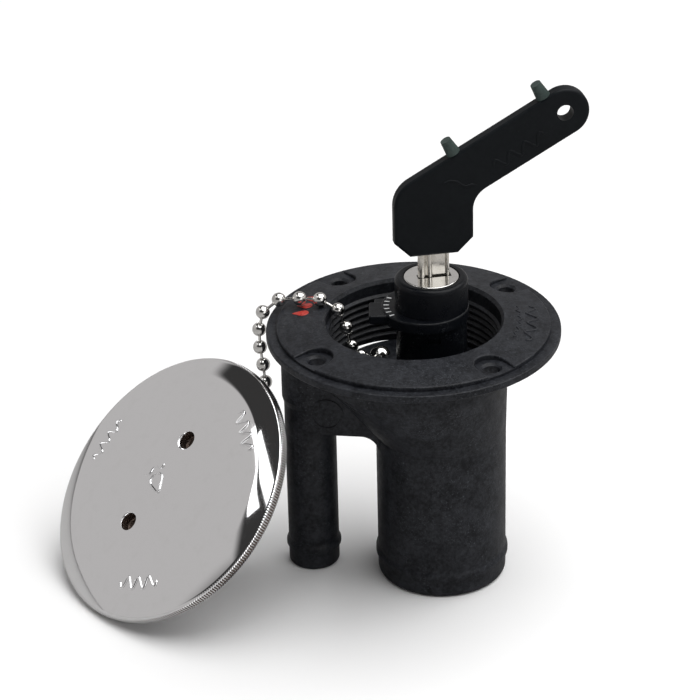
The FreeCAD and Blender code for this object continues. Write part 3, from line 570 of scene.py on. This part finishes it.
def cut_by(piece, cutter):
    """Takes the cutter's shape out of the piece, and removes the cutter."""
    change = piece.modifiers.new("cut", "BOOLEAN")
    change.operation = "DIFFERENCE"
    change.solver = "EXACT"
    change.object = cutter
    graph = bpy.context.evaluated_depsgraph_get()
    made = bpy.data.meshes.new_from_object(piece.evaluated_get(graph))
    piece.modifiers.clear()
    piece.data = made
    bpy.data.objects.remove(cutter)


def cap_piece(name, shape, material, replaced=(), degrees=32):
    return finish_piece(make_object(name, *shape), material, "cap", replaced, degrees)


def spanner_hole_cutter(at):
    floor_z, lip_z = SPANNER_FLOOR_Z, crown_height(SPANNER_SPACING / 2)
    outline = [(0, floor_z + 0.1), (SPANNER_HOLE_R - 0.6, floor_z + 0.35),
               (SPANNER_HOLE_R - 0.1, floor_z + 0.9), (SPANNER_HOLE_R, lip_z - 0.25),
               (SPANNER_HOLE_R + 0.12, lip_z - 0.08), (SPANNER_HOLE_R + 0.4, lip_z + 0.12),
               (SPANNER_HOLE_R + 0.4, lip_z + 2), (0, lip_z + 2)]
    return make_object("cutter", *lathe(outline, 64, at))


def build_shell(materials, place):
    """The cap's shell, with its knurled band and its two spanner holes."""
    outline, band = cap_outline()

    def tooth(index, angle):
        return TOOTH_DEPTH * (0.5 - 0.5 * math.cos(TEETH * angle)) if index in band else 0

    shell = make_object("cap_shell_turned", *lathe(outline, TEETH * 4, place, tooth))
    for x, y in spanner_places():
        cut_by(shell, spanner_hole_cutter(place @ turned(0, x, y)))
    finish_piece(shell, materials["chrome"], "cap", ["cap_shell"], 40)


def build_knurl_groove_shade(materials, place):
    """A dark ring that shows in the knurling's grooves only: painted shade in the grooves."""
    ring = [(CAP_R - 1, 0.25), (CAP_R - GROOVE_SHADE_DEPTH, 0.5), (CAP_R - GROOVE_SHADE_DEPTH, BAND_TOP_Z - 0.5),
            (CAP_R - 1, BAND_TOP_Z - 0.25)]
    cap_piece("cap_knurl_groove_shade", lathe(ring, 240, place), materials["stain"])


def build_spanner_hole(materials, number, at):
    """A dark lining in the hole that paints its shade, and the boss that closes it on the cap's inside."""
    floor_z = SPANNER_FLOOR_Z
    cup = [(0, floor_z + 0.14), (SPANNER_HOLE_R - 0.6, floor_z + 0.40),
           (SPANNER_HOLE_R - 0.14, floor_z + 0.95), (SPANNER_HOLE_R - 0.04, LINING_TOP_Z),
           (SPANNER_HOLE_R + 0.2, LINING_TOP_Z), (SPANNER_HOLE_R + 0.2, floor_z - 0.3),
           (0, floor_z - 0.3)]
    # The dark cup is painted shade inside the spanner hole
    cap_piece(f"spanner_hole_shade_lining_{number}", lathe(cup, 64, at), materials["stain"])
    boss = [(0, floor_z - 0.35), (SPANNER_HOLE_R + 0.25, floor_z - 0.35),
            (SPANNER_HOLE_R + 0.25, CEILING_Z + 0.3), (SPANNER_BOSS_R, CEILING_Z + 0.3),
            (SPANNER_BOSS_R, SPANNER_BOSS_Z + 0.4), (SPANNER_BOSS_R - 0.4, SPANNER_BOSS_Z),
            (0, SPANNER_BOSS_Z)]
    cap_piece(f"spanner_hole_boss_{number}", lathe(boss, 64, at), materials["chrome"])


def build_swivel_boss(materials, place):
    boss = [(0, CEILING_Z + 0.3), (SWIVEL_BOSS_R, CEILING_Z + 0.3),
            (SWIVEL_BOSS_R, SWIVEL_BOSS_Z + 0.3), (SWIVEL_BOSS_R - 0.3, SWIVEL_BOSS_Z),
            (0, SWIVEL_BOSS_Z)]
    cap_piece("swivel_boss", lathe(boss, 64, place), materials["chrome"])


def build_cap_marks(materials, place):
    """Raised marks: three waves round the face, and a drop over a wave in its middle."""
    shapes = []
    for turn in MARK_TURNS:
        path = on_ring(wave(1, 1.7, 3.5, 90), MARK_R, turn - MARK_HALF_TURN, turn + MARK_HALF_TURN)
        shapes.append((place, laid(ridge(path, 0.9, 0.4), crown_height)))
    middle = place @ turned(MIDDLE_MARK_TURN, 0, 0, crown_height(0))
    shapes.append((middle @ turned(0, 0, 1.2), ridge(droplet(6.6), 0.8, 0.34, closed=True)))
    shapes.append((middle @ turned(0, 0, -3.9), ridge(wave(7.2, 0.7, 1.5), 0.8, 0.34)))
    cap_piece("cap_raised_marks", gather(shapes), materials["chrome"], degrees=60)


def build_cap(materials, place):
    build_shell(materials, place)
    build_knurl_groove_shade(materials, place)
    thread = helix_ridge(SKIRT_R, THREAD_PROUD, THREAD_PITCH, *THREAD_RUN_Z, place)
    cap_piece("cap_thread", thread, materials["chrome"])
    for index, (x, y) in enumerate(spanner_places()):
        build_spanner_hole(materials, index + 1, place @ turned(0, x, y))
    build_swivel_boss(materials, place)
    build_cap_marks(materials, place)


# Bead chain --------------------------------------------------------------------------------


def loose_centres(node):
    """Centres of a CAD node's separate solids, in the order in which it holds them."""
    work = bmesh.new()
    work.from_mesh(frame["nodes"][node].data)
    bmesh.ops.remove_doubles(work, verts=work.verts, dist=1e-6)
    work.verts.ensure_lookup_table()
    seen, centres = set(), []
    for first in work.verts:
        if first.index in seen:
            continue
        group, queue = [], [first]
        seen.add(first.index)
        while queue:
            vertex = queue.pop()
            group.append(vertex.co)
            for edge in vertex.link_edges:
                other = edge.other_vert(vertex)
                if other.index not in seen:
                    seen.add(other.index)
                    queue.append(other)
        low = Vector([min(c[k] for c in group) for k in range(3)])
        high = Vector([max(c[k] for c in group) for k in range(3)])
        centres.append((low + high) / 2)
    work.free()
    return centres


def in_chain_order(centres, start):
    """The centres from the one nearest start, each followed by its nearest neighbour."""
    left, ordered, at = list(centres), [], start
    while left:
        at = min(left, key=lambda c: (c - at).length)
        left.remove(at)
        ordered.append(at)
    return ordered


def build_beads(materials, name, node, body, start):
    """Balls with a rolled mouth at each pin, along a chain."""
    centres = in_chain_order(loose_centres(node), start)
    mouth = math.degrees(math.asin(BALL_MOUTH_R / BALL_R))
    shell = [(r, z) for r, z in arc((0, 0), BALL_R, 90 - mouth, mouth - 90, 25)]
    lip = math.cos(math.radians(mouth)) * BALL_R
    inner = [(0.5, -lip + 0.12), (0.5, -lip + 0.55), (0, -lip + 0.6)]
    outline = [(0, lip - 0.6), (0.5, lip - 0.55), (0.5, lip - 0.12)] + shell + inner
    vertices, faces = [], []
    for i, centre in enumerate(centres):
        before, after = centres[max(i - 1, 0)], centres[min(i + 1, len(centres) - 1)]
        turn = (after - before).to_track_quat("Z", "Y").to_matrix().to_4x4()
        points, polygons = lathe(outline, 40, Matrix.Translation(centre) @ turn)
        offset = len(vertices)
        vertices += points
        faces += [tuple(offset + k for k in polygon) for polygon in polygons]
    balls = make_object(name, vertices, faces)
    finish_piece(balls, materials["nickel"], body, [node], 50)


# Marks -------------------------------------------------------------------------------------


def on_arc(radius, turn, z):
    """A place on a ring about an upright axis, +X outwards."""
    return Matrix.Rotation(math.radians(turn), 4, "Z") @ turned(0, radius, 0, z)


def flange_height(radius):
    return FLANGE_TOP - (radius - RIM_R) * CROWN_FALL


def moved(shape, matrix):
    """A shape in millimetres, moved by a matrix in metres."""
    vertices, faces = shape
    return [matrix @ (Vector(v) * MM) / MM for v in vertices], faces


def build_fuel_marks(materials):
    """Three red drops on the flange, their points towards its middle."""
    drops = []
    for turn in DROP_TURNS:
        at = on_arc(DROP_R, turn, 0) @ turned(-90)
        drops.append((Matrix(), laid(moved(pad(droplet(DROP_HEIGHT), 0.14, 0.2), at), flange_height)))
    marks = make_object("fuel_marks", *gather(drops))
    finish_piece(marks, materials["red_paint"], "fitting", degrees=60)


def build_flange_waves(materials):
    """A bold and a fine raised wave on the flange's right side."""
    waves = []
    for radius, rise, periods, wide, high in ((34.3, 1.5, 3.5, 0.8, 0.3), (30.6, 0.5, 5.5, 0.45, 0.2)):
        path = on_ring(wave(1, rise, periods, 120), radius, *WAVE_TURNS)
        waves.append((Matrix(), laid(ridge(path, wide, high), flange_height)))
    marks = make_object("flange_raised_waves", *gather(waves))
    finish_piece(marks, materials["nylon"], "fitting", degrees=60)


def build_index_ticks(materials):
    """A row of white ticks on the lock housing's shelf, round the collar."""
    ticks = []
    outline = [(-0.75, -0.22), (0.75, -0.22), (0.75, 0.22), (-0.75, 0.22)]
    for i in range(TICK_COUNT):
        at = turned(0, LOCK_X) @ on_arc(TICK_R, TICK_START + TICK_STEP * i, SHELF_Z)
        ticks.append((at, pad(outline, 0.05, 0.05)))
    marks = make_object("index_ticks", *gather(ticks))
    finish_piece(marks, materials["white_paint"], "insert", degrees=60)


def on_key(along, up):
    """A place on the front face of the key's handle: +X along it, +Y up, +Z out of it."""
    turn = math.radians(KEY_TURN)
    way = Vector((math.cos(turn), math.sin(turn), 0))
    out = Vector((math.sin(turn), -math.cos(turn), 0))
    face = Matrix((way, UP, out)).transposed().to_4x4()
    origin = Vector((LOCK_X, 0, LOCK_FACE_Z)) + way * along + UP * up + out * (HANDLE_T / 2)
    return Matrix.Translation(origin * MM) @ face


def build_key_relief(materials):
    """The raised crease where the handle's arm begins, and a wave along the arm."""
    crease_path = [(3.0, 29.4), (5.2, 30.0), (7.1, 29.6), (8.4, 28.5), (9.7, 27.8), (11.4, 28.3),
                   (12.8, 27.9)]
    arm = on_key(*ARM_MIDDLE) @ turned(ARM_ANGLE)
    shapes = [(on_key(0, 0), ridge(crease_path, 0.8, 0.22)), (arm, ridge(wave(17, 1.5, 3.5), 0.9, 0.16))]
    relief = make_object("key_handle_relief", *gather(shapes))
    finish_piece(relief, materials["key_plastic"], "key", degrees=60)


# Scene -------------------------------------------------------------------------------------


def dress_nodes(materials):
    """Gives every CAD node its material by its slot; the key's blade has a finish of its own."""
    own_finish = {"key_blade": "blade"}
    slots = {row["node"]: row["material_slot"] for row in frame["record"]["subparts"]}
    for name, node in frame["nodes"].items():
        slot = slots[name]
        material = materials[own_finish.get(name, slot)]
        node.data.materials.clear()
        node.data.materials.append(material)


def add_area(name, toward, target, distance, size, power):
    """A soft light, size wide and high, at a distance from the target, facing it."""
    data = bpy.data.lights.new(name, "AREA")
    data.energy = power
    data.shape = "RECTANGLE"
    data.size, data.size_y = size
    light = bpy.data.objects.new(name, data)
    way = Vector(toward).normalized()
    light.location = Vector(target) + way * distance
    light.rotation_mode = "QUATERNION"
    light.rotation_quaternion = way.to_track_quat("Z", "Y")
    bpy.context.scene.collection.objects.link(light)


def add_floor(z):
    """White paper that glows a little far out, so that it stays white, and that is light grey
    in the mirrored chrome."""
    half = FLOOR_HALF
    corners = [(-half, -half, z), (half, -half, z), (half, half, z), (-half, half, z)]
    floor = make_object("floor", corners, [(0, 1, 2, 3)])
    g = Graph("floor_paper", PAPER_COLORS[0], 0.75, specular=0.2)
    glossy = g.nodes.new("ShaderNodeLightPath").outputs["Is Glossy Ray"]
    paper = g.colors(g.noise(40, 3), *PAPER_COLORS)
    g.color(g.colors(glossy, paper, MIRRORED_PAPER_COLOR))
    g.bump(g.noise(2, 2), 0.02, 0.3)
    far = g.remap(g.from_middle(), GLOW_FROM, GLOW_TO, 0.0, GLOW_LEVEL)
    g.glow(g.math("MULTIPLY", far, g.math("SUBTRACT", 1.0, glossy)))
    floor.data.materials.append(g.material)


def border(nodes, links, split, axis, pale, dark):
    """1 where the direction's component is past the border, 0 before it."""
    node = nodes.new("ShaderNodeMapRange")
    node.interpolation_type = "SMOOTHSTEP"
    node.inputs["From Min"].default_value = pale
    node.inputs["From Max"].default_value = dark
    links.new(split.outputs[axis], node.inputs["Value"])
    return node.outputs["Result"]


def set_world():
    """The pale room with its two dark parts; the camera itself sees plain white."""
    world = bpy.data.worlds.new("studio")
    world.use_nodes = True
    bpy.context.scene.world = world
    nodes, links = world.node_tree.nodes, world.node_tree.links
    split = nodes.new("ShaderNodeSeparateXYZ")
    links.new(nodes.new("ShaderNodeTexCoord").outputs["Generated"], split.inputs["Vector"])

    def joined(kind, first, second):
        node = nodes.new("ShaderNodeMath")
        node.operation = kind
        links.new(first, node.inputs[0])
        links.new(second, node.inputs[1])
        return node.outputs["Value"]

    parts = []
    for borders in (CEILING_BORDERS, FRONT_BORDERS):
        first, second = [border(nodes, links, split, *row) for row in borders]
        parts.append(joined("MULTIPLY", first, second))
    level = nodes.new("ShaderNodeMapRange")
    level.inputs["To Min"].default_value = ROOM_LEVEL
    level.inputs["To Max"].default_value = DARK_LEVEL
    links.new(joined("MAXIMUM", *parts), level.inputs["Value"])
    room = nodes["Background"]
    room.inputs["Color"].default_value = ROOM_COLOR
    links.new(level.outputs["Result"], room.inputs["Strength"])
    bright = nodes.new("ShaderNodeBackground")
    bright.inputs["Strength"].default_value = BACKGROUND_LEVEL
    mix = nodes.new("ShaderNodeMixShader")
    links.new(nodes.new("ShaderNodeLightPath").outputs["Is Camera Ray"], mix.inputs["Fac"])
    links.new(room.outputs["Background"], mix.inputs[1])
    links.new(bright.outputs["Background"], mix.inputs[2])
    links.new(mix.outputs["Shader"], nodes["World Output"].inputs["Surface"])


def add_camera():
    data = bpy.data.cameras.new("camera")
    data.lens = LENS_MM
    data.sensor_width = SENSOR_MM
    data.clip_start = 0.05
    data.clip_end = 20
    camera = bpy.data.objects.new("camera", data)
    a, e = math.radians(AZIMUTH), math.radians(ELEVATION)
    back = Vector((math.sin(a) * math.cos(e), -math.cos(a) * math.cos(e), math.sin(e)))
    camera.location = AIM + back * DISTANCE
    turn = back.to_track_quat("Z", "Y") @ Matrix.Rotation(math.radians(ROLL), 3, "Z").to_quaternion()
    camera.rotation_mode = "QUATERNION"
    camera.rotation_quaternion = turn
    bpy.context.scene.collection.objects.link(camera)
    bpy.context.scene.camera = camera


def add_lights(cap_at):
    for name, toward, distance, size, power in EDGE_SOFTBOXES:
        add_area(name, toward, cap_at, distance, size, power)
    for name, toward, distance, size, power in ROOM_SOFTBOXES:
        add_area(name, toward, (0, 0, 0), distance, size, power)


def main():
    bpy.context.scene.view_settings.view_transform = "Standard"
    materials = make_materials()
    dress_nodes(materials)
    add_camera()
    place = cap_matrix()
    build_cap(materials, place)
    hinge = next(j for j in frame["joints"] if j["name"] == "cap_swing")
    start = Vector(hinge["pos_m"])
    build_beads(materials, "rim_chain_beads", "rim_chain_balls", "fitting", start)
    build_beads(materials, "hanging_chain_beads", "hanging_chain_balls", "tether", start)
    build_fuel_marks(materials)
    build_flange_waves(materials)
    build_index_ticks(materials)
    build_key_relief(materials)
    add_floor(cad_box[0].z)
    set_world()
    add_lights(place.translation)


main()
